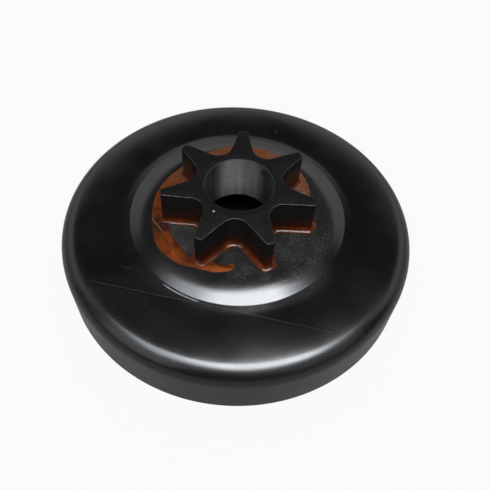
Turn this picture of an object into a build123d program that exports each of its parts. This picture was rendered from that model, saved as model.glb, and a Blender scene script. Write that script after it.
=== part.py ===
from build123d import *
import math
import os

# Clutch drum with a spur sprocket: a drawn steel cup that lies open side down, a seven-tooth star sprocket
# seated on the raised middle of its web, and the copper that brazes the two together.
# Millimetres and degrees. The origin is on the axis, in the plane of the open rim, with +Z up.

# Star sprocket
teeth = 7
tip_radius = 18.2         # tip circle of a seven-tooth spur star for 3/8 inch chain
tip_land = 1.9            # width of a tooth at its tip
tip_round = 0.45          # rounded corners of the tooth tips
root_arc = 3.4            # round at the bottom of each gap between teeth
first_tooth_angle = 89.6  # direction of the first tooth, seen from above
star_height = 8.9         # from the plateau to the top face
edge_break = 0.15         # bevel round the top face
bore_radius = 8.0         # needle cage seat
bore_bevel = 0.2          # bevels at both mouths of the bore
spigot_wall = 1.6         # wall of the plain end of the hub, which passes through the web
spigot_proud = 0.4        # how far the spigot stands past the underside of the plateau
spigot_bevel = 0.4        # bevel round the end of the spigot
seat_step = 0.7           # narrowest part of the seat, from the spigot to the bottom of a gap

# Drawn cup
drum_radius = 43.0        # outside of the wall
sheet = 3.2               # thickness of the drawn sheet, which the web keeps
wall = 3.0                # of the wall, after the track for the clutch shoes is turned square inside it
rim_bend = 4.0            # outside radius where the web turns into the wall
web_top = 15.0            # height of the flat part of the web
web_flat = 31.0           # radius from which the web falls off towards the rim bend
web_fall = 2.8            # how steeply it falls
plateau_rise = 1.2        # how far the middle of the web is pressed up
plateau_margin = 3.1      # flat of the plateau that is left outside the tooth tips
slope_angle = 19          # of the slope between plateau and web
shoulder_radius = 8.0     # slack bend from the plateau into the slope
foot_radius = 2.0         # tight bend from the slope into the web
rim_break = 0.25          # bevels on both edges of the rim
braze_gap = 0.05          # between the spigot and the hole in the web

# Copper
fillet_leg = 1.1          # fillet round the foot of the star, out over the plateau and up the flanks
film = 0.2                # thickness of the copper that ran out over the plateau
# Edge of the run-out copper, as (distance past the tip circle, direction from the first tooth): from under one tooth
# round to the tail, and back along the inside of the tail to another tooth. Arcs pass through three points each.
film_edge = [
    (-5.2, -95), (-0.2, -80), (1.8, -60), (2.9, -20), (2.4, 40), (2.7, 80), (2.9, 110), (2.5, 146),
    (-0.6, 177), (-1.35, 179.5), (-2.1, 177), (-0.9, 157), (-0.1, 132), (0.2, 112), (-2.2, 101),
]

# Worked-out sizes and places
tooth_pitch = 360 / teeth
spigot_radius = bore_radius + spigot_wall
root_radius = spigot_radius + seat_step
hole_radius = spigot_radius + braze_gap
track_radius = drum_radius - wall
plateau_top = web_top + plateau_rise
plateau_edge = tip_radius + plateau_margin
slope_sine = math.sin(math.radians(slope_angle))
slope_cosine = math.cos(math.radians(slope_angle))
slope_bends = shoulder_radius + foot_radius
slope_length = (plateau_rise - slope_bends * (1 - slope_cosine)) / slope_sine
slope_foot = plateau_edge + slope_bends * slope_sine + slope_length * slope_cosine
bend_start = drum_radius - rim_bend * (1 - math.sin(math.radians(web_fall)))
bend_top = web_top - (bend_start - web_flat) * math.tan(math.radians(web_fall))
star_top = plateau_top + star_height
spigot_length = sheet + spigot_proud

HANGING = (Align.CENTER, Align.CENTER, Align.MAX)


def polar(radius, angle):
    """A point in the plane, from its radius and its direction."""
    turn = math.radians(angle)
    return Vector(radius * math.cos(turn), radius * math.sin(turn))


def drum_cup():
    """The drawn cup, with the hole for the spigot, the turned friction track and the bevelled rim."""
    crown = Line((hole_radius, plateau_top), (plateau_edge, plateau_top))
    shoulder = CenterArc((plateau_edge, plateau_top - shoulder_radius), shoulder_radius, 90, -slope_angle)
    foot = CenterArc((slope_foot, web_top + foot_radius), foot_radius, 270 - slope_angle, slope_angle)
    slope = Line(shoulder @ 1, foot @ 0)
    web = Line(foot @ 1, (web_flat, web_top))
    fall = Line(web @ 1, (bend_start, bend_top))
    bend = JernArc(fall @ 1, fall % 1, rim_bend, web_fall - 90)
    inside = Polyline(
        bend @ 1,
        (drum_radius, 0),
        (track_radius, 0),
        (track_radius, web_top - sheet),
        (slope_foot, web_top - sheet),
        (plateau_edge, plateau_top - sheet),
        (hole_radius, plateau_top - sheet),
        crown @ 0,
    )
    section = make_face([crown, shoulder, slope, foot, web, fall, bend, inside])
    cup = revolve(Plane.XZ * section, axis=Axis.Z)
    rim_edges = cup.edges().group_by(Axis.Z)[0]
    return chamfer(rim_edges, rim_break)


def gap_outline():
    """One gap between two teeth, opening along +X: a round root and two straight flanks out past the tips."""
    corner = polar(tip_radius, tooth_pitch / 2 - math.degrees(math.asin(tip_land / 2 / tip_radius)))
    root_centre = Vector(root_radius + root_arc, 0)
    reach = corner - root_centre
    lean = math.acos(root_arc / reach.length) - math.atan2(reach.X, reach.Y)
    flank_start = root_centre + polar(root_arc, 90 + math.degrees(lean))
    flank_run = tip_radius + root_arc - flank_start.X
    flank_end = flank_start + Vector(flank_run, flank_run * math.tan(lean))
    upper = Line(flank_start, flank_end)
    lower = mirror(upper, about=Plane.XZ)
    root = ThreePointArc(lower @ 0, (root_radius, 0), upper @ 0)
    mouth = Line(upper @ 1, lower @ 1)
    return make_face([upper, mouth, lower, root])


def star_outline():
    """The star seen from above: a disc with a gap between each pair of teeth, and rounded tips."""
    star = Circle(tip_radius) - PolarLocations(0, teeth) * gap_outline()
    tips = star.vertices().filter_by(lambda corner: Vector(*corner).length > tip_radius - tip_round)
    star = fillet(tips, tip_round)
    return Rot(0, 0, first_tooth_angle + tooth_pitch / 2) * star


def star_prism():
    """The plain star, standing on the plateau."""
    return extrude(Pos(0, 0, plateau_top) * star_outline(), star_height)


def drive_sprocket():
    """The star with a bevelled top face, its spigot below and the bore through both."""
    star = star_prism()
    top_edges = star.faces().sort_by(Axis.Z)[-1].outer_wire().edges()
    sprocket = chamfer(top_edges, edge_break)
    sprocket += Pos(0, 0, plateau_top) * Cylinder(spigot_radius, spigot_length, align=HANGING)
    spigot_edges = sprocket.edges().group_by(Axis.Z)[0]
    sprocket = chamfer(spigot_edges, spigot_bevel)
    sprocket -= Pos(0, 0, star_top) * Cylinder(bore_radius, star_height + spigot_length, align=HANGING)
    circles = sprocket.edges().filter_by(GeomType.CIRCLE)
    bore_mouths = circles.filter_by(lambda edge: math.isclose(edge.radius, bore_radius))
    return chamfer(bore_mouths, bore_bevel)


def foot_fillet():
    """The sloping band of copper that fills the corner all round the star's foot."""
    footing = Pos(0, 0, plateau_top) * Cylinder(plateau_edge, sheet, align=HANGING) + star_prism()
    seat = footing.faces().filter_by(Axis.Z).sort_by(Axis.Z)[1]
    foot_edges = seat.inner_wires()[0].edges()
    return chamfer(foot_edges, fillet_leg) - footing


def film_point(past_tips, direction):
    """A point on the edge of the run-out copper, placed from the tip circle and the first tooth."""
    return polar(tip_radius + past_tips, first_tooth_angle + direction)


def run_out_film():
    """The thin copper film that ran out over the plateau."""
    points = [film_point(*place) for place in film_edge]
    edge = [ThreePointArc(*points[start:start + 3]) for start in range(0, len(points) - 1, 2)]
    under_star = Line(points[-1], points[0])
    outline = make_face(edge + [under_star])
    return extrude(Pos(0, 0, plateau_top) * outline, film, dir=(0, 0, 1))


def braze_copper():
    """All the copper that shows outside the joint."""
    return foot_fillet() + run_out_film() - star_prism()


os.makedirs("parts", exist_ok=True)
for piece in (drum_cup, drive_sprocket, braze_copper):
    export_step(piece(), f"parts/{piece.__name__}.step")
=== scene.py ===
import math

import bmesh
import bpy
from bpy.props import FloatProperty, FloatVectorProperty, IntProperty, PointerProperty
from mathutils import Matrix, Vector


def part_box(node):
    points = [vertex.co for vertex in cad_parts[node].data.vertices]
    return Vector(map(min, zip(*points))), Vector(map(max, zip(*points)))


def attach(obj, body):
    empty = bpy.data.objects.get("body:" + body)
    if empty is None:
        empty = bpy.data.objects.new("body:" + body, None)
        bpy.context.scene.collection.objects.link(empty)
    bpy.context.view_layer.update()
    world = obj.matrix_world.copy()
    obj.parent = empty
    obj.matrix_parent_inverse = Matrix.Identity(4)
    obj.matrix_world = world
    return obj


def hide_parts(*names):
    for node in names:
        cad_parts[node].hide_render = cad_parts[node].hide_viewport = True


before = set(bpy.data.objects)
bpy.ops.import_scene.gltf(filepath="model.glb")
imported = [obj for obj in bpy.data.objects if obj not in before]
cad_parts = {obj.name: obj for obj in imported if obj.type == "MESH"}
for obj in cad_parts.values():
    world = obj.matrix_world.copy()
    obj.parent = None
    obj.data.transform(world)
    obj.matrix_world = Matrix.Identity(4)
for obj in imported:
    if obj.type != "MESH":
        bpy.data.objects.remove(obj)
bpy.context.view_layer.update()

bl_info = {
    "name": "Clutch drum",
    "version": (1, 0, 0),
    "blender": (4, 5, 0),
    "location": "3D View > Sidebar > Clutch drum",
    "description": "Models a drawn-steel clutch drum with a brazed star sprocket, and a table to show it on",
    "category": "Add Mesh",
}

MM = 0.001
ACROSS = Vector((1, 0, 0))
BACK = Vector((0, 1, 0))
UP = Vector((0, 0, 1))
AXIS = Vector((0, 0, 0))      # the bore axis meets the plane of the rim here
CUP_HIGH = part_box("drum_cup")[1]
STAR_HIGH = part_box("drive_sprocket")[1]
TINY = 0.001 * MM             # closer than this, points count as one
NEAR = 0.02 * MM              # slack when faces and edges are picked by their place
AROUND = 256                  # steps of a full turn on turned faces
RING_STEPS = 28               # steps of a ring that joins one tooth
WALL_STEPS = 64               # steps of each quarter of the white wall
SMOOTH = math.radians(35)     # faces that meet at less than this are shaded as one
UPRIGHT = 0.2                 # a face whose normal rises less than this stands upright
LEVEL = 0.99                  # a face whose normal rises more than this lies level


# Settings


def length(name, description, millimetres):
    return FloatProperty(
        name=name, description=description, default=millimetres * MM, min=0, unit="LENGTH", precision=5,
    )


def turn(name, description, degrees):
    return FloatProperty(
        name=name, description=description, default=math.radians(degrees), unit="ROTATION", subtype="ANGLE",
    )


def share(name, description, part):
    return FloatProperty(name=name, description=description, default=part, min=0, max=1, subtype="FACTOR")


def colour(name, description, red, green, blue):
    return FloatVectorProperty(
        name=name, description=description, default=(red, green, blue, 1),
        size=4, min=0, max=1, subtype="COLOR",
    )


class DrumCupSettings(bpy.types.PropertyGroup):
    """Sizes and finish of the drawn cup"""

    radius: length("Radius", "Outside of the wall", CUP_HIGH.x / MM)
    plateau_top: length("Plateau top", "Height of the raised middle of the web", CUP_HIGH.z / MM)
    plateau_rise: length("Plateau rise", "How far the middle of the web is pressed up", 1.5)
    plateau_edge: length("Plateau edge", "Radius where the flat of the plateau ends", 20.0)
    shoulder: length("Shoulder", "Radius of the bend from the plateau into the slope", 14.0)
    slope: turn("Slope", "Steepest angle of the slope round the plateau", 17.5)
    foot: length("Foot", "Radius of the tight bend at the bottom of the slope", 1.2)
    crease: turn("Crease", "Angle that is left after the tight bend", 6.5)
    crease_run: length("Crease run", "Straight that follows the tight bend", 1.2)
    run_out: length("Run-out", "Radius of the slack bend that takes up the crease", 13)
    dome_start: length("Dome start", "Radius from which the web falls off towards the rim", 31)
    dome: turn("Dome", "Angle of the web where the rim bend begins", 5.5)
    rim_bend: length("Rim bend", "Outside radius where the web turns into the wall", 4.3)
    sheet: length("Sheet", "Thickness of the web", 3.2)
    wall: length("Wall", "Thickness of the wall", 3.0)
    rim_break: length("Rim break", "Bevels on both edges of the rim", 0.25)
    black: colour("Black", "Blackened steel", 0.0032, 0.0032, 0.0033)
    worn: colour("Scratches", "Steel that shows in scratches", 0.05, 0.05, 0.054)
    dust: colour("Dust", "Dry dust on the plateau", 0.06, 0.06, 0.058)
    # Painted highlight: colour of the bright line along the foot of the slope
    painted_glint: colour("Scuff", "Bare metal of the rubbed line", 0.30, 0.32, 0.335)
    bare: colour("Track", "Turned steel inside the wall", 0.32, 0.31, 0.30)


class DrumStarSettings(bpy.types.PropertyGroup):
    """Sizes and finish of the star sprocket"""

    teeth: IntProperty(name="Teeth", description="Number of teeth", default=7, min=3)
    first_tooth: turn("First tooth", "Direction of the rear tooth", 89.6)
    tip_radius: length("Tip radius", "Tip circle of the star", 18.2)
    tip_land: length("Tip land", "Width of a tooth at its tip", 1.9)
    tip_round: length("Tip round", "Rounded corners of the tips", 0.45)
    root_radius: length("Root radius", "From the axis to the bottom of a gap", 10.3)
    root_arc: length("Root arc", "Round at the bottom of a gap", 3.4)
    top: length("Top", "Height of the top face", STAR_HIGH.z / MM)
    edge_break: length("Edge break", "Bevel round the top face", 0.15)
    bore: length("Bore", "Radius of the bearing bore", 8.0)
    bore_bevel: length("Bore bevel", "Bevels at both mouths of the bore", 0.2)
    spigot: length("Spigot", "Radius of the plain end below the star", 9.6)
    spigot_end: length("Spigot end", "Height of the spigot's lower end", 12.6)
    spigot_bevel: length("Spigot bevel", "Bevel round the end of the spigot", 0.4)
    black: colour("Black", "Blackened, unpolished steel", 0.0045, 0.0044, 0.0044)
    flank: colour("Flank", "Sides of the teeth", 0.0105, 0.0088, 0.0085)
    edge: colour("Edge", "Rubbed edges", 0.021, 0.0205, 0.0205)
    stain: colour("Stain", "Copper that crept up the flanks", 0.045, 0.0095, 0.0045)
    smoke: colour("Smoke", "Dusty copper on the rear flanks", 0.055, 0.024, 0.014)
    speck: colour("Speck", "A pale speck on the top face", 0.6, 0.6, 0.58)
    turned: colour("Turned", "Turned steel at the mouth of the bore", 0.092, 0.088, 0.084)
    # Painted light: a lighter grey further down the bore, against the shade deep inside it
    painted_deep_light: colour("Barer", "Turned steel further down the bore", 0.165, 0.158, 0.150)
    groove: colour("Groove", "Turning lines of the bore", 0.055, 0.052, 0.049)


class DrumCopperSettings(bpy.types.PropertyGroup):
    """Sizes and finish of the copper"""

    fillet: length("Fillet", "Reach of the hollow fillet round the foot of the star", 1.1)
    skin: length("Skin", "Thickness of the fillet, into the corner", 0.25)
    film: length("Film", "Height of the copper that ran out over the plateau", 0.10)
    film_root: length("Film root", "How far the film reaches below the flat, to meet the shoulder", 0.45)
    film_round: length("Film round", "Soft edge of the film", 0.07)
    bright: colour("Bright", "Clean copper", 0.155, 0.034, 0.004)
    dark: colour("Dark", "Oxidised copper", 0.070, 0.015, 0.004)
    deep: colour("Deep", "Copper in the fillet", 0.14, 0.028, 0.004)
    # Painted light: lighter, greyer copper at the back, against the star's shade
    painted_back_light: colour("Dusty", "Run-out copper at the back, under dry dust", 0.18, 0.065, 0.028)
    fold: colour("Fold", "Folded edge and grains on the run-out copper", 0.27, 0.12, 0.07)
    soot: colour("Soot", "Burnt patch on the run-out copper", 0.028, 0.012, 0.009)
    grime: colour("Grime", "Dust on the copper", 0.06, 0.040, 0.032)


class DrumStageSettings(bpy.types.PropertyGroup):
    """Table, lamps and camera"""

    table: length("Table", "Radius of the table", 900)
    backdrop: length("Backdrop", "From the axis to the white wall behind the table", 560)
    notch: length("Notch", "Height of the white wall in the middle, behind the drum", 312)
    rise: turn("Notch rise", "How steeply the top of the wall rises to both sides", 22.8)
    white: colour("White", "Paper of the table and the wall", 0.38, 0.38, 0.38)
    # Painted shade: the table underneath the drum is coloured near-black
    shade: colour("Shade", "Table underneath the drum", 0.01, 0.01, 0.01)
    paleness: share("Paleness", "How white the paper looks to the camera", 0.93)
    low_shine: share("Low shine", "How white the table looks in reflections", 0.05)
    high_shine: share("High shine", "How white the upper part of the wall looks in reflections", 0.9)
    shine_height: length("Shine height", "Where the wall reaches its high shine", 300)
    room: colour("Room", "Dim light of the room", 0.012, 0.012, 0.013)
    beyond: colour("Beyond", "White behind the table and the wall", 0.953, 0.953, 0.953)
    glimmer: share("Glimmer", "How much of the white beyond shows in reflections", 0.01)
    lens: FloatProperty(name="Lens", description="Focal length", default=39.85, unit="CAMERA")
    target: FloatVectorProperty(
        name="Target", description="The point that the camera looks at", default=(2.216 * MM, 0, 1.824 * MM),
        subtype="TRANSLATION", unit="LENGTH", precision=5,
    )
    distance: length("Distance", "From the camera to its target", 143.45)
    elevation: turn("Elevation", "How far the camera looks down", 53.5)
    roll: turn("Roll", "How far the camera leans to the left", 3.66)


# Marks and dust, placed in millimetres

# Scratches, as (start and end seen from above, width)
SCRATCHES = (
    ((-33.0, -21.7), (24.0, -31.25), 0.09),
    ((-26.3, -17.45), (-22.7, -18.3), 0.10),
    ((-21.7, -18.8), (-20.0, -19.3), 0.09),
    ((9.0, 29.4), (8.8, 31.2), 0.28),
)
FOLD = ((-21.2, -3.6), (-15.9, -9.9), 0.13)   # folded edge in the run-out copper, told as a scratch

# Round places seen from above, as (x, y, radius)
DUSTY_CORNER = (-11.5, -9.0, 8.0)             # of the plateau, at the front left
DUSTY_GAP = (1.0, -15.0, 7.0)                 # of the plateau, between the front teeth
BURNT_FILM = (-17.7, -6.0, 3.4)
BURNT_BORE = (5.4, 5.9, 0.9)
BURNT_BORE_DEPTH = 1.9                        # from the top face of the star
PALE_SPECK = (-5.15, -8.54, 0.3)              # on the top face of the star

# Painted highlight: a bright line along the foot of the slope, that carries the slope's reflection on to the
# left
CREASE_HIGHLIGHT_RADIUS = 26.65
CREASE_HIGHLIGHT_DIRECTION = math.radians(245)

# Edge of the run-out copper, as (radius, direction in degrees): outer edge, hooked tail, inner edge of the
# crescent, and a way back that stays under the star
FILM_EDGE = (
    (17.0, 8), (18.6, 18), (19.6, 27), (20.5, 38), (21.5, 52), (22.2, 68), (22.3, 84), (22.1, 98),
    (21.4, 112), (20.4, 128), (20.1, 143), (20.6, 156), (21.0, 172), (20.9, 190), (21.2, 202), (21.9, 211),
    (21.9, 220), (21.4, 230), (20.9, 237), (19.9, 244), (19.4, 252), (19.2, 258), (18.5, 265), (17.8, 269),
    (17.0, 271), (16.2, 270), (16.0, 267), (16.6, 264), (17.0, 260), (16.8, 254), (17.6, 245), (18.2, 236),
    (17.9, 230), (17.4, 225), (17.7, 216), (17.5, 205), (16.9, 196), (12.0, 190), (9.8, 168), (9.8, 130),
    (9.8, 90), (9.8, 50), (11.5, 20),
)


# Drawing and selecting in edit mode


class Pen:
    """Draws edges by extruding and spinning one vertex in a plane. Turns to the left are positive."""

    def __init__(self, name, start, upward, heading=0.0):
        bpy.ops.object.select_all(action="DESELECT")
        bpy.ops.mesh.primitive_plane_add(size=MM)
        self.piece = bpy.context.object
        self.piece.name = name
        bpy.ops.object.mode_set(mode="EDIT")
        bpy.ops.mesh.select_mode(type="VERT")
        bpy.ops.mesh.select_all(action="SELECT")
        bpy.ops.mesh.merge(type="CENTER")
        bpy.ops.transform.translate(value=start)
        self.at = Vector(start)
        self.upward = upward
        self.axis = ACROSS.cross(upward)
        self.heading = heading

    def ahead(self, angle):
        return ACROSS * math.cos(angle) + self.upward * math.sin(angle)

    def line(self, distance):
        step = self.ahead(self.heading) * distance
        bpy.ops.mesh.extrude_region_move(TRANSFORM_OT_translate={"value": step})
        self.at = self.at + step

    def line_to(self, end):
        step = Vector(end) - self.at
        self.heading = math.atan2(step.dot(self.upward), step.dot(ACROSS))
        self.line(step.length)

    def arc(self, radius, angle, steps):
        side = math.copysign(math.pi / 2, angle)
        centre = self.at + self.ahead(self.heading + side) * radius
        # a positive angle of this operator turns to the right
        bpy.ops.mesh.spin(steps=steps, angle=-angle, center=centre, axis=self.axis)
        self.at = centre + Matrix.Rotation(angle, 3, self.axis) @ (self.at - centre)
        self.heading += angle


def weld():
    """Selects everything and merges points that coincide."""
    bpy.ops.mesh.select_all(action="SELECT")
    bpy.ops.mesh.remove_doubles(threshold=TINY)


def face_outwards():
    """Selects everything and turns the faces outwards."""
    bpy.ops.mesh.select_all(action="SELECT")
    bpy.ops.mesh.normals_make_consistent(inside=False)


def revolve():
    """Spins the section that is being drawn round the bore axis, and closes it."""
    bpy.ops.mesh.select_all(action="SELECT")
    bpy.ops.mesh.spin(steps=AROUND, angle=math.tau, center=AXIS, axis=UP)
    weld()
    face_outwards()


def pull(height):
    """Extrudes what is selected up by a height, or down if it is negative."""
    bpy.ops.mesh.extrude_region_move(TRANSFORM_OT_translate={"value": UP * height})


def bevel(offset, segments):
    """Bevels the selected edges."""
    bpy.ops.mesh.bevel(offset=offset, segments=segments, affect="EDGES")


def pick(piece, kind, test):
    """Selects the edges or faces that pass a test. There have to be some."""
    bpy.ops.mesh.select_mode(type=kind)
    bpy.ops.mesh.select_all(action="DESELECT")
    mesh = bmesh.from_edit_mesh(piece.data)
    picked = [part for part in (mesh.edges if kind == "EDGE" else mesh.faces) if test(part)]
    if not picked:
        raise RuntimeError(f"{piece.name} has nothing to select there")
    for part in picked:
        part.select = True
    bmesh.update_edit_mesh(piece.data)


def pick_edges(piece, test):
    """Selects the edges whose two ends pass a test."""
    pick(piece, "EDGE", lambda edge: all(test(end.co) for end in edge.verts))


def pick_faces(piece, test):
    """Selects the faces whose middle and normal pass a test."""
    pick(piece, "FACE", lambda face: test(face.calc_center_median(), face.normal))


def give_material(piece, material, test):
    """Gives a material to the faces that pass a test."""
    piece.data.materials.append(material)
    piece.active_material_index = len(piece.data.materials) - 1
    pick_faces(piece, test)
    bpy.ops.object.material_slot_assign()


def reach(point):
    """Distance from the bore axis."""
    return math.hypot(point.x, point.y)


def polar(radius, angle, height=0.0):
    return Vector((radius * math.cos(angle), radius * math.sin(angle), height))


def close(value, aim):
    return abs(value - aim) < NEAR


def take_place_of(piece, node):
    """Ends the modelling of a piece and lets it stand for a node of the frame."""
    bpy.ops.object.mode_set(mode="OBJECT")
    bpy.ops.object.shade_smooth_by_angle(angle=SMOOTH)
    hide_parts(node)
    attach(piece, "root")


# Shader nodes


class Nodes:
    """A tree of shader nodes. Each step adds a node and gives the socket that holds its result."""

    def __init__(self, tree):
        self.tree = tree

    def add(self, kind, inputs=None, **settings):
        """Adds a node, sets or links its inputs, and gives all its outputs."""
        node = self.tree.nodes.new(kind)
        for name, value in settings.items():
            setattr(node, name, value)
        for name, value in (inputs or {}).items():
            if isinstance(value, bpy.types.NodeSocket):
                self.tree.links.new(value, node.inputs[name])
            else:
                node.inputs[name].default_value = value
        return node.outputs

    def maths(self, operation, *values):
        """One step of arithmetic on one to three numbers or sockets."""
        return self.add("ShaderNodeMath", dict(enumerate(values)), operation=operation)[0]

    def product(self, first, *others):
        for other in others:
            first = self.maths("MULTIPLY", first, other)
        return first

    def largest(self, first, *others):
        for other in others:
            first = self.maths("MAXIMUM", first, other)
        return first

    def scaled(self, value, factor, offset):
        """A value times a factor, plus an offset."""
        return self.maths("MULTIPLY_ADD", value, factor, offset)

    def between(self, value, low, high, start=0.0, end=1.0):
        """A smooth change from start to end while a value goes from low to high."""
        inputs = {"Value": value, "From Min": low, "From Max": high, "To Min": start, "To Max": end}
        return self.add("ShaderNodeMapRange", inputs, interpolation_type="SMOOTHSTEP")[0]

    def blend(self, factor, first, second):
        """A mix of two colours, which have the sockets 6 and 7 of the Mix node."""
        return self.add("ShaderNodeMix", {0: factor, 6: first, 7: second}, data_type="RGBA")[2]

    def split(self, vector):
        return self.add("ShaderNodeSeparateXYZ", {0: vector})

    def bounced_rays(self, path):
        """Rays that reach a surface by way of metal or glass."""
        return self.largest(path["Is Glossy Ray"], path["Is Transmission Ray"])

    def surface(self, output, factor, first, second):
        """Ends the tree in a mix of two shaders."""
        mixed = self.add("ShaderNodeMixShader", {0: factor, 1: first, 2: second})[0]
        self.tree.links.new(mixed, self.tree.nodes[output].inputs["Surface"])


class Finish(Nodes):
    """A new material: a plain shader, and patterns on the object's own coordinates."""

    def __init__(self, name, **constants):
        self.material = bpy.data.materials.new(name)
        self.material.use_nodes = True
        super().__init__(self.material.node_tree)
        self.shader = self.tree.nodes["Principled BSDF"]
        for socket, value in constants.items():
            self.shader.inputs[socket.replace("_", " ")].default_value = value
        self.place = self.add("ShaderNodeTexCoord")["Object"]

    def wire(self, **sources):
        """Links results to the shader, and gives the finished material."""
        for socket, source in sources.items():
            self.tree.links.new(source, self.shader.inputs[socket.replace("_", " ")])
        return self.material

    def placed(self, origin=(0, 0, 0), angle=0.0, scale=(1, 1, 1)):
        """Coordinates moved to an origin, turned round the bore axis and scaled."""
        moved = self.add("ShaderNodeVectorMath", {0: self.place, 1: origin}, operation="SUBTRACT")[0]
        inputs = {"Vector": moved, "Rotation": (0, 0, -angle), "Scale": scale}
        return self.add("ShaderNodeMapping", inputs)[0]

    def axis_distance(self):
        x, y, _ = self.split(self.place)
        return self.maths("SQRT", self.scaled(x, x, self.product(y, y)))

    def noise(self, scale, detail=3.0, rough=0.5, on=None):
        """Clouds in the object's own coordinates, or on other ones."""
        inputs = {"Vector": on or self.place, "Scale": scale, "Detail": detail, "Roughness": rough}
        return self.add("ShaderNodeTexNoise", inputs)["Fac"]

    def turning_lines(self, height, scale, detail):
        """Lines round the bore axis, at random heights."""
        inputs = {"W": self.product(height, scale), "Scale": 1.0, "Detail": detail}
        return self.add("ShaderNodeTexNoise", inputs, noise_dimensions="1D")["Fac"]

    def bump(self, height, distance, strength=1.0):
        inputs = {"Height": height, "Distance": distance, "Strength": strength}
        return self.add("ShaderNodeBump", inputs)[0]

    def scratch(self, start, end, width):
        """A thin straight scratch between two places seen from above, that fades in and out."""
        start, end = (Vector((*point, 0)) * MM for point in (start, end))
        width = width * MM
        run = end - start
        along, aside, _ = self.split(self.placed(start, math.atan2(run.y, run.x)))
        wobble = self.maths("SUBTRACT", self.noise(140), 0.5)
        off = self.maths("ABSOLUTE", self.scaled(wobble, 6 * width, aside))
        line = self.between(off, 0.3 * width, width, 1, 0)
        fade = min(2 * MM, run.length / 3)
        begun = self.between(along, 0, fade)
        ended = self.between(along, run.length - fade, run.length, 1, 0)
        patchy = self.between(self.noise(260), 0.3, 0.7, 0.35, 1)
        return self.product(line, begun, ended, patchy)

    def dots(self, scale, size, chance):
        """Fine round dots in some of the cells of a random grid."""
        cells = self.add("ShaderNodeTexVoronoi", {"Vector": self.place, "Scale": scale})
        chosen = self.maths("LESS_THAN", self.split(cells["Color"])[0], chance)
        return self.product(self.between(cells["Distance"], 0.4 * size, size, 1, 0), chosen)

    def spot(self, seen, height):
        """A small round spot: its place and radius seen from above, in millimetres, and its height."""
        x, y, radius = (size * MM for size in seen)
        inputs = {0: self.place, 1: (x, y, height)}
        away = self.add("ShaderNodeVectorMath", inputs, operation="DISTANCE")["Value"]
        return self.between(away, 0.5 * radius, radius, 1, 0)


# Finishes of the drum


def plateau_dust(steel, cup, height, radius):
    """Dry dust round the star, most of it at the right, in one corner and between the front teeth.
    Gives the specks, and the haze between them."""
    specks = steel.largest(steel.dots(3000, size=0.42, chance=0.7), steel.dots(1100, size=0.24, chance=0.4))
    drift = steel.between(steel.noise(260, detail=4, rough=0.6), 0.36, 0.64)
    at_right = steel.between(steel.split(steel.place)[0], 0, 10 * MM)
    inwards = steel.between(radius, 16 * MM, 22 * MM, 1, 0.4)
    right = steel.product(at_right, inwards)
    corner = steel.product(steel.spot(DUSTY_CORNER, cup.plateau_top), 1.5)
    gap = steel.product(steel.spot(DUSTY_GAP, cup.plateau_top), 0.6)
    gathered = steel.largest(right, corner, gap)
    on_plateau = steel.between(height, cup.plateau_top - 0.9 * MM, cup.plateau_top - 0.1 * MM)
    settled = steel.product(steel.scaled(gathered, 0.85, 0.15), on_plateau)
    dust = steel.product(specks, steel.scaled(drift, 0.7, 0.25), settled)
    haze = steel.product(steel.scaled(drift, 0.16, 0.28), settled)
    return dust, haze


def painted_crease_highlight(steel, radius):
    """A painted highlight: a short bright line along the foot of the slope."""
    ahead, aside, _ = steel.split(steel.placed(angle=CREASE_HIGHLIGHT_DIRECTION))
    off = steel.maths("ABSOLUTE", steel.maths("SUBTRACT", radius, CREASE_HIGHLIGHT_RADIUS * MM))
    line = steel.between(off, 0.08 * MM, 0.2 * MM, 1, 0)
    ends = steel.between(steel.maths("ABSOLUTE", aside), 3.4 * MM, 5.0 * MM, 1, 0)
    near_side = steel.maths("GREATER_THAN", ahead, 0.0)
    return steel.product(line, ends, near_side)


def blackened_steel(cup):
    """Glossy black drum, duller round its rim: faint mottling, scratches, and dry dust round the star."""
    steel = Finish("blackened_steel", IOR=1.5)
    mottle = steel.noise(90, detail=4)
    grain = steel.noise(2600)
    height = steel.split(steel.place)[2]
    radius = steel.axis_distance()
    on_top = steel.maths("GREATER_THAN", height, cup.plateau_top - cup.sheet)
    scratches = steel.largest(*(steel.scratch(*scratch) for scratch in SCRATCHES))
    settled, haze = plateau_dust(steel, cup, height, radius)
    stray = steel.product(steel.dots(1300, size=0.2, chance=0.25), 0.22)
    dust = steel.largest(settled, stray)
    base = steel.blend(mottle, cup.black, [c * 1.25 for c in cup.black])
    base = steel.blend(steel.product(scratches, on_top), base, cup.worn)
    base = steel.blend(steel.largest(dust, haze), base, cup.dust)
    # Painted highlight: a bright line along the foot of the slope
    base = steel.blend(steel.product(painted_crease_highlight(steel, radius), on_top), base, cup.painted_glint)
    gloss = steel.between(mottle, 0.3, 0.7, 0.17, 0.23)
    dull_rim = steel.between(radius, cup.radius - 5.5 * MM, cup.radius - 2 * MM, 0, 0.09)
    gloss = steel.scaled(dust, 0.4, steel.maths("ADD", gloss, dull_rim))
    bumps = steel.scaled(grain, 0.4, mottle)
    skin = steel.bump(bumps, 0.01 * MM, strength=0.25)
    return steel.wire(Base_Color=base, Roughness=gloss, Normal=skin)


def turned_track(cup):
    """Bare steel inside the wall, with fine turning lines."""
    track = Finish("turned_track", Metallic=1.0)
    lines = track.turning_lines(track.split(track.place)[2], 4000, detail=2)
    base = track.blend(track.noise(120), cup.bare, [c * 0.7 for c in cup.bare])
    gloss = track.between(lines, 0.3, 0.7, 0.3, 0.5)
    return track.wire(Base_Color=base, Roughness=gloss, Normal=track.bump(lines, 0.01 * MM))


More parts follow.
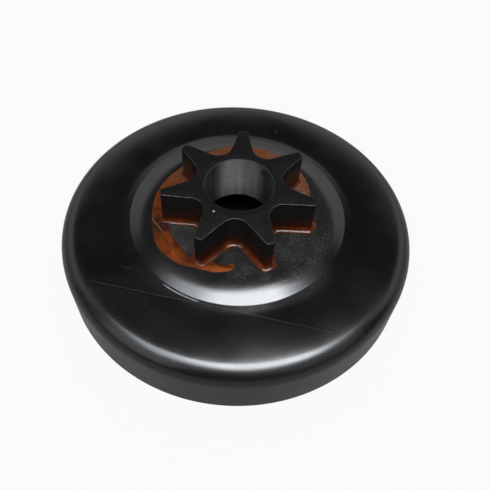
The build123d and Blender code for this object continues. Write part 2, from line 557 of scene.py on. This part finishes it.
def star_steel(star, cup):
    """Satin black star, with copper that crept up its flanks, higher and dustier at the back."""
    steel = Finish("star_steel", IOR=1.45, Specular_IOR_Level=0.05)
    grain = steel.noise(2200, detail=4, rough=0.65)
    cloud = steel.noise(220)
    _, back, height = steel.split(steel.place)
    rear = steel.between(back, -2 * MM, 8 * MM)
    ragged = steel.scaled(steel.maths("SUBTRACT", cloud, 0.5), 5 * MM, height)
    climb = steel.scaled(rear, -3 * MM, ragged)
    stain = steel.between(climb, cup.plateau_top + 0.3 * MM, cup.plateau_top + 5.0 * MM, 1, 0)
    sides = steel.between(height, star.top - 0.8 * MM, star.top - star.edge_break, 1, 0)
    base = steel.blend(sides, star.black, star.flank)
    base = steel.blend(steel.product(steel.dots(2600, size=0.5, chance=0.5), 0.2), base, cup.dust)
    base = steel.blend(stain, base, steel.blend(rear, star.stain, star.smoke))
    base = steel.blend(steel.spot(PALE_SPECK, star.top), base, star.speck)
    gloss = steel.between(grain, 0.3, 0.7, 0.42, 0.6)
    skin = steel.bump(grain, 0.02 * MM, strength=0.5)
    return steel.wire(Base_Color=base, Roughness=gloss, Normal=skin)


def rubbed_edge(star):
    """Edges of the star, rubbed a little brighter than its faces."""
    edge = Finish("rubbed_edge", Metallic=0.5)
    wear = edge.noise(600, detail=4)
    base = edge.blend(edge.between(wear, 0.4, 0.7), star.black, star.edge)
    return edge.wire(Base_Color=base, Roughness=edge.between(wear, 0.3, 0.7, 0.6, 0.45))


def turned_bore(star, cup):
    """Grey bore, painted lighter further down as painted light against the shade in it, with turning lines
    that draw its highlights out along the axis.
    """
    bore = Finish("turned_bore", Metallic=0.85, Anisotropic=1.0, Anisotropic_Rotation=0.25)
    height = bore.split(bore.place)[2]
    lines = bore.turning_lines(height, 3000, detail=4)
    streaks = bore.noise(900, on=bore.placed(scale=(1, 1, 0.03)))
    shade = bore.scaled(lines, 0.6, bore.product(streaks, 0.4))
    # Painted light: the bore gets lighter further down, against the shade deep inside it
    lighter_below = bore.between(height, cup.plateau_top, star.top, 1, 0)
    metal = bore.blend(lighter_below, star.turned, star.painted_deep_light)
    base = bore.blend(bore.between(shade, 0.3, 0.7), metal, star.groove)
    burnt = bore.spot(BURNT_BORE, star.top - BURNT_BORE_DEPTH * MM)
    base = bore.blend(bore.product(burnt, 0.8), base, star.stain)
    gloss = bore.between(lines, 0.3, 0.7, 0.36, 0.5)
    round_axis = bore.add("ShaderNodeTangent", direction_type="RADIAL", axis="Z")[0]
    return bore.wire(Base_Color=base, Roughness=gloss, Tangent=round_axis)


def run_out_copper(copper, cup):
    """Copper film, clouded and streaked round the axis, with a burnt and folded patch at the left, painted
    light at the back against the star's shade, and grime and grains towards the right."""
    film = Finish("run_out_copper", Metallic=0.4, Specular_IOR_Level=0.05)
    cloud = film.noise(260, detail=5, rough=0.6)
    flow = film.noise(900, detail=4, rough=0.6)
    across, back, _ = film.split(film.place)
    ahead = film.product(film.maths("ARCTAN2", back, across), 3 * MM)
    round_axis = film.add("ShaderNodeCombineXYZ", {"X": film.axis_distance(), "Y": ahead})[0]
    flowed = film.noise(1500, detail=4, rough=0.65, on=round_axis)
    streaks = film.between(flowed, 0.42, 0.62)
    base = film.blend(film.between(cloud, 0.36, 0.66), copper.bright, copper.dark)
    base = film.blend(film.product(streaks, 0.75), base, copper.dark)
    # Painted light: the copper gets lighter and greyer towards the back, against the star's shade
    base = film.blend(film.between(back, 2 * MM, 14 * MM, 0, 0.65), base, copper.painted_back_light)
    right = film.between(across, -4 * MM, 16 * MM, -0.08, 0.14)
    smears = film.noise(330, detail=5, rough=0.6, on=film.placed(origin=(0.02, 0.05, 0)))
    dirty = film.between(film.maths("ADD", smears, right), 0.5, 0.72)
    base = film.blend(film.product(dirty, 0.7), base, copper.grime)
    patch = film.spot(BURNT_FILM, cup.plateau_top + copper.film)
    burnt = film.product(patch, film.between(flow, 0.2, 0.5))
    base = film.blend(burnt, base, copper.soot)
    base = film.blend(film.scratch(*FOLD), base, copper.fold)
    far_right = film.between(across, 11 * MM, 14 * MM, 0, 0.7)
    grains = film.product(film.dots(1500, size=0.4, chance=0.5), far_right)
    base = film.blend(grains, base, copper.fold)
    gloss = film.scaled(dirty, 0.2, film.between(flow, 0.3, 0.7, 0.32, 0.48))
    ripples = film.scaled(streaks, -0.6, flow)
    skin = film.bump(ripples, 0.08 * MM, strength=0.7)
    return film.wire(Base_Color=base, Roughness=gloss, Normal=skin)


def fillet_copper(copper):
    """Dark, smooth copper of the fillet, under a clear, slightly lumpy glaze of flux."""
    fillet = Finish("fillet_copper", Specular_IOR_Level=0.02, Coat_Weight=0.3, Coat_Roughness=0.06)
    cloud = fillet.noise(420, detail=4)
    base = fillet.blend(fillet.between(cloud, 0.35, 0.7), copper.dark, copper.deep)
    gloss = fillet.between(cloud, 0.3, 0.7, 0.3, 0.42)
    skin = fillet.bump(cloud, 0.02 * MM, strength=0.4)
    lumps = fillet.bump(fillet.noise(900), 0.12 * MM, strength=0.6)
    return fillet.wire(Base_Color=base, Roughness=gloss, Normal=skin, Coat_Normal=lumps)


def white_paper(stage, painted_shade_radius):
    """Paper that looks whiter than its own shade to the camera, and in reflections the higher up it hangs,
    but is painted near-black underneath the drum, as painted shade."""
    paper = Finish("white_paper", Roughness=0.9)
    path = paper.add("ShaderNodeLightPath")
    height = paper.split(paper.place)[2]
    shine = paper.between(height, 0, stage.shine_height, stage.low_shine, stage.high_shine)
    bounced = paper.product(paper.bounced_rays(path), shine)
    seen = paper.scaled(path["Is Camera Ray"], stage.paleness, bounced)
    outside = paper.between(paper.axis_distance(), painted_shade_radius - MM, painted_shade_radius)
    # Painted shade: near-black paper underneath the drum
    material = paper.wire(Base_Color=paper.blend(outside, stage.shade, stage.white))
    glow = paper.add("ShaderNodeEmission", {"Color": (1, 1, 1, 1), "Strength": 1.0})[0]
    paper.surface("Material Output", paper.product(seen, outside), paper.shader.outputs[0], glow)
    return material


def dim_room(stage):
    """A room that looks white behind the table, and dim with a glimmer of that white in reflections."""
    world = bpy.data.worlds.new("dim_room")
    world.use_nodes = True
    room = Nodes(world.node_tree)
    dim = world.node_tree.nodes["Background"]
    dim.inputs["Color"].default_value = stage.room
    pale = room.add("ShaderNodeBackground", {"Color": stage.beyond, "Strength": 1.0})[0]
    path = room.add("ShaderNodeLightPath")
    seen = room.scaled(room.bounced_rays(path), stage.glimmer, path["Is Camera Ray"])
    room.surface("World Output", seen, dim.outputs[0], pale)
    return world


# Drawn cup


def straight_slope(rise, angle, *bends):
    """Length of the straight part of a slope, where each bend is (radius, first angle, last angle)."""
    bent = sum(radius * abs(math.cos(first) - math.cos(last)) for radius, first, last in bends)
    return (rise - bent) / math.sin(angle)


def draw_cup(cup, hole):
    """The closed section of the cup, from its hole out over the web, down the wall and back inside."""
    web_top = cup.plateau_top - cup.plateau_rise
    pen = Pen("drum_shell", (hole, 0, cup.plateau_top), UP)
    pen.line(cup.plateau_edge - hole)
    pen.arc(cup.shoulder, -cup.slope, steps=14)
    bends = (cup.shoulder, 0, cup.slope), (cup.foot, cup.slope, cup.crease), (cup.run_out, cup.crease, 0)
    pen.line(straight_slope(cup.plateau_rise - cup.crease_run * math.sin(cup.crease), cup.slope, *bends))
    pen.arc(cup.foot, cup.slope - cup.crease, steps=8)
    pen.line(cup.crease_run)
    pen.arc(cup.run_out, cup.crease, steps=8)
    pen.line_to((cup.dome_start, 0, web_top))
    bend_start = cup.radius - cup.rim_bend * (1 - math.sin(cup.dome))
    pen.heading = 0.0
    pen.arc((bend_start - cup.dome_start) / math.sin(cup.dome), -cup.dome, steps=10)
    pen.arc(cup.rim_bend, cup.dome - math.pi / 2, steps=20)
    pen.line(pen.at.z - cup.rim_break)
    pen.line_to((cup.radius - cup.rim_break, 0, 0))
    track = cup.radius - cup.wall
    pen.line_to((track + cup.rim_break, 0, 0))
    pen.line_to((track, 0, cup.rim_break))
    pen.line_to((track, 0, web_top - cup.sheet))
    outer, inner = cup.foot + cup.sheet, cup.shoulder - cup.sheet
    straight = straight_slope(cup.plateau_rise, cup.slope, (outer, 0, cup.slope), (inner, cup.slope, 0))
    width = (outer + inner) * math.sin(cup.slope) + straight * math.cos(cup.slope)
    pen.line_to((cup.plateau_edge + width, 0, web_top - cup.sheet))
    pen.arc(outer, -cup.slope, steps=8)
    pen.line(straight)
    pen.arc(inner, cup.slope, steps=8)
    pen.line_to((hole, 0, cup.plateau_top - cup.sheet))
    pen.line_to((hole, 0, cup.plateau_top))
    return pen.piece


class DRUM_OT_cup(bpy.types.Operator):
    """Draw the cup's section, spin it round and blacken it"""

    bl_idname = "clutch_drum.cup"
    bl_label = "Drawn cup"

    def execute(self, context):
        cup, star = context.scene.drum_cup, context.scene.drum_star
        track = cup.radius - cup.wall

        def on_track(middle, normal):
            return close(reach(middle), track) and abs(normal.z) < UPRIGHT

        piece = draw_cup(cup, star.spigot)
        revolve()
        piece.data.materials.append(blackened_steel(cup))
        give_material(piece, turned_track(cup), on_track)
        take_place_of(piece, "drum_cup")
        return {"FINISHED"}


# Star sprocket


def draw_star(name, star, height, ring):
    """Flat faces between the star's outline and a ring round the axis: one tooth, spun round."""
    pitch = math.tau / star.teeth
    half_land = math.asin(star.tip_land / 2 / star.tip_radius)
    corner = polar(star.tip_radius, pitch / 2 - half_land)
    to_corner = corner - Vector((star.root_radius + star.root_arc, 0, 0))
    lean = math.acos(star.root_arc / to_corner.length) - math.atan2(to_corner.x, to_corner.y)
    tip_turn = (math.pi + pitch) / 2 - lean
    cut_back = star.tip_round * math.tan(tip_turn / 2)
    flank = math.sqrt(to_corner.length ** 2 - star.root_arc ** 2) - cut_back
    gap = star.first_tooth - pitch / 2
    pen = Pen(name, polar(star.root_radius, gap, height), BACK, gap + math.pi / 2)
    pen.arc(star.root_arc, lean - math.pi / 2, steps=9)
    pen.line(flank)
    pen.arc(star.tip_round, tip_turn, steps=5)
    pen.line(star.tip_land - 2 * cut_back)
    pen.arc(star.tip_round, tip_turn, steps=5)
    pen.line(flank)
    pen.arc(star.root_arc, lean - math.pi / 2, steps=9)
    pen.line_to(polar(ring, gap + pitch, height))
    pen.heading = gap + pitch - math.pi / 2
    pen.arc(ring, -pitch, steps=RING_STEPS)
    pen.line_to(polar(star.root_radius, gap, height))
    weld()
    bpy.ops.mesh.edge_face_add()
    bpy.ops.mesh.select_all(action="SELECT")
    bpy.ops.mesh.spin(steps=star.teeth, dupli=True, angle=math.tau, center=AXIS, axis=UP)
    weld()
    return pen.piece


def model_star(star, seat):
    """The toothed hub: the star raised from its seat, with the bore through it and the spigot below."""
    piece = draw_star("star_sprocket", star, seat, star.spigot)
    pick_edges(piece, lambda end: close(reach(end), star.spigot))
    bpy.ops.mesh.extrude_edges_move()
    shrink = star.bore / star.spigot
    bpy.ops.transform.resize(value=(shrink, shrink, 1), center_override=UP * seat)
    bpy.ops.mesh.select_all(action="SELECT")
    pull(star.top - seat)
    pick_faces(piece, lambda middle, normal: close(middle.z, seat) and reach(middle) < star.spigot)
    pull(star.spigot_end - seat)
    weld()
    face_outwards()
    return piece


def bevel_star(piece, star):
    """Breaks the edges of the top face, of the spigot's end and of both mouths of the bore."""

    def at_mouth(end):
        return close(reach(end), star.bore) and (close(end.z, star.top) or close(end.z, star.spigot_end))

    pick_edges(piece, lambda end: close(end.z, star.top) and reach(end) > star.root_radius - NEAR)
    bevel(star.edge_break, segments=3)
    pick_edges(piece, lambda end: close(end.z, star.spigot_end) and close(reach(end), star.spigot))
    bevel(star.spigot_bevel, segments=1)
    pick_edges(piece, at_mouth)
    bevel(star.bore_bevel, segments=2)


class DRUM_OT_star(bpy.types.Operator):
    """Draw the star's outline, raise it into a toothed hub, and bevel its edges"""

    bl_idname = "clutch_drum.star"
    bl_label = "Star sprocket"

    def execute(self, context):
        star, cup = context.scene.drum_star, context.scene.drum_cup

        def in_bore(middle, normal):
            return reach(middle) < star.bore + star.bore_bevel and abs(normal.z) < UPRIGHT

        def on_upper_bevel(middle, normal):
            return middle.z > star.top - star.bore_bevel and UPRIGHT < normal.z < LEVEL

        piece = model_star(star, cup.plateau_top)
        bevel_star(piece, star)
        piece.data.materials.append(star_steel(star, cup))
        give_material(piece, turned_bore(star, cup), in_bore)
        give_material(piece, rubbed_edge(star), on_upper_bevel)
        take_place_of(piece, "drive_sprocket")
        return {"FINISHED"}


# Copper


def model_fillet(copper, star, cup):
    """The hollow fillet: the round corner between a wall on the star's outline and a floor round it."""
    seat = cup.plateau_top

    def at_foot(end):
        return close(end.z, seat) and reach(end) < star.tip_radius + NEAR

    def off_corner(middle, normal):
        return not seat + TINY < middle.z < seat + copper.fillet

    piece = draw_star("copper_braze", star, seat, cup.plateau_edge)
    pick_edges(piece, at_foot)
    bpy.ops.mesh.extrude_edges_move(TRANSFORM_OT_translate={"value": UP * 2 * copper.fillet})
    face_outwards()
    pick_edges(piece, at_foot)
    bevel(copper.fillet, segments=8)
    pick_faces(piece, off_corner)
    bpy.ops.mesh.delete(type="FACE")
    bpy.ops.object.mode_set(mode="OBJECT")
    skin = piece.modifiers.new("skin", "SOLIDIFY")
    skin.thickness = copper.skin
    skin.offset = -1
    bpy.ops.object.modifier_apply(modifier=skin.name)
    return piece


def model_film(copper, cup):
    """The run-out film: its edge drawn point by point, rounded, filled and raised a little."""
    low = cup.plateau_top - copper.film_root
    top = cup.plateau_top + copper.film
    points = [polar(radius * MM, math.radians(angle), low) for radius, angle in FILM_EDGE]
    pen = Pen("film", points[0], BACK)
    for point in points[1:]:
        pen.line_to(point)
    bpy.ops.mesh.select_all(action="SELECT")
    bpy.ops.mesh.edge_face_add()
    bpy.ops.mesh.bevel(offset_type="PERCENT", offset_pct=48, segments=5, affect="VERTICES")
    bpy.ops.mesh.select_all(action="SELECT")
    pull(top - low)
    face_outwards()
    pick_edges(pen.piece, lambda end: close(end.z, top))
    bevel(copper.film_round, segments=3)
    bpy.ops.object.mode_set(mode="OBJECT")
    return pen.piece


class DRUM_OT_copper(bpy.types.Operator):
    """Model the braze fillet and the run-out film as one piece of copper"""

    bl_idname = "clutch_drum.copper"
    bl_label = "Braze copper"

    def execute(self, context):
        scene = context.scene
        copper, star, cup = scene.drum_copper, scene.drum_star, scene.drum_cup
        film = model_film(copper, cup)
        film.data.materials.append(run_out_copper(copper, cup))
        piece = model_fillet(copper, star, cup)
        piece.data.materials.append(fillet_copper(copper))
        film.select_set(True)
        bpy.ops.object.join()
        take_place_of(piece, "braze_copper")
        return {"FINISHED"}


# Stage

# Lamps, as (name, place and size in metres, watts, tint, lights matt faces, shows in reflections)
LAMPS = (
    ("softbox", (0.08, -0.115, 0.6), 0.37, 0.35, 6.2, (0.96, 0.98, 1.0), False, True),
    ("softbox_spill", (0.005, -0.130, 0.6), 0.72, 0.34, 6.8, (0.90, 0.95, 1.0), False, True),
    ("glow_left", (-0.62, -0.52, 0.5), 0.7, 0.7, 2.0, (0.96, 0.98, 1.0), False, True),
    ("glow_right", (0.62, -0.52, 0.5), 0.7, 0.7, 1.0, (0.96, 0.98, 1.0), False, True),
    ("fill", (0.0, -0.5, 0.8), 1.2, 1.2, 8.5, (1.0, 1.0, 1.0), True, False),
    ("fill_back", (0.0, 0.6, 0.8), 1.2, 1.2, 6.5, (1.0, 1.0, 1.0), True, False),
)


def put_on_stage(piece, material):
    """Ends the modelling of a piece that only sets the drum off."""
    bpy.ops.object.mode_set(mode="OBJECT")
    piece.data.materials.append(material)


def add_table(stage, paper):
    """A round table."""
    pen = Pen("table", AXIS, UP)
    pen.line(stage.table)
    revolve()
    put_on_stage(pen.piece, paper)


def add_wall(name, side, stage, paper):
    """One half of the wall behind the table. Its top rises outwards from a notch in the middle."""
    pen = Pen(name, (side * stage.backdrop, 0, 0), UP, math.pi / 2)
    pen.line(2 * stage.backdrop)
    bpy.ops.mesh.select_all(action="SELECT")
    bpy.ops.mesh.spin(steps=WALL_STEPS, angle=-side * math.pi / 2, center=AXIS, axis=UP)
    bpy.ops.mesh.select_all(action="SELECT")
    upward = (-side * math.sin(stage.rise), 0, math.cos(stage.rise))
    bpy.ops.mesh.bisect(plane_co=UP * stage.notch, plane_no=upward, clear_outer=True)
    put_on_stage(pen.piece, paper)


def add_lamp(name, place, wide, deep, watts, tint, matt, glossy):
    """A soft lamp that points at the drum."""
    bpy.ops.object.light_add(type="AREA")
    lamp = bpy.context.object
    lamp.name = name
    lamp.location = place
    lamp.rotation_euler = (AXIS - Vector(place)).to_track_quat("-Z", "Y").to_euler()
    lamp.data.shape = "RECTANGLE"
    lamp.data.size = wide
    lamp.data.size_y = deep
    lamp.data.energy = watts
    lamp.data.color = tint
    lamp.visible_diffuse = matt
    lamp.visible_glossy = glossy


def add_camera(stage):
    """A camera in front of the drum that looks down on it."""
    bpy.ops.object.camera_add()
    camera = bpy.context.object
    camera.data.lens = stage.lens
    camera.data.clip_start = MM
    tilt = Matrix.Rotation(math.pi / 2 - stage.elevation, 4, "X") @ Matrix.Rotation(stage.roll, 4, "Z")
    away = Matrix.Translation((0, 0, stage.distance))
    camera.matrix_world = Matrix.Translation(stage.target) @ tilt @ away
    return camera


class DRUM_OT_stage(bpy.types.Operator):
    """Add the white table, the lamps and the camera"""

    bl_idname = "clutch_drum.stage"
    bl_label = "Stage"

    def execute(self, context):
        scene = context.scene
        stage, cup = scene.drum_stage, scene.drum_cup
        paper = white_paper(stage, cup.radius - cup.rim_break)
        add_table(stage, paper)
        for name, side in (("wall_left", -1), ("wall_right", 1)):
            add_wall(name, side, stage, paper)
        for lamp in LAMPS:
            add_lamp(*lamp)
        scene.world = dim_room(stage)
        scene.camera = add_camera(stage)
        scene.view_settings.view_transform = "Standard"
        return {"FINISHED"}


# Panel and registration


class DRUM_PT_panel(bpy.types.Panel):
    """Lists the pieces of the drum and its stage"""

    bl_label = "Clutch drum"
    bl_idname = "DRUM_PT_panel"
    bl_space_type = "VIEW_3D"
    bl_region_type = "UI"
    bl_category = "Clutch drum"

    def draw(self, context):
        for operator in OPERATORS:
            self.layout.operator(operator.bl_idname)


SETTINGS = {
    "drum_cup": DrumCupSettings,
    "drum_star": DrumStarSettings,
    "drum_copper": DrumCopperSettings,
    "drum_stage": DrumStageSettings,
}
OPERATORS = (DRUM_OT_cup, DRUM_OT_star, DRUM_OT_copper, DRUM_OT_stage)


def register():
    for name, group in SETTINGS.items():
        bpy.utils.register_class(group)
        setattr(bpy.types.Scene, name, PointerProperty(type=group))
    for operator in OPERATORS:
        bpy.utils.register_class(operator)
    bpy.utils.register_class(DRUM_PT_panel)


def unregister():
    bpy.utils.unregister_class(DRUM_PT_panel)
    for operator in reversed(OPERATORS):
        bpy.utils.unregister_class(operator)
    for name, group in reversed(SETTINGS.items()):
        delattr(bpy.types.Scene, name)
        bpy.utils.unregister_class(group)


def main():
    register()
    bpy.ops.clutch_drum.cup()
    bpy.ops.clutch_drum.star()
    bpy.ops.clutch_drum.copper()
    bpy.ops.clutch_drum.stage()


if __name__ == "__main__":
    main()
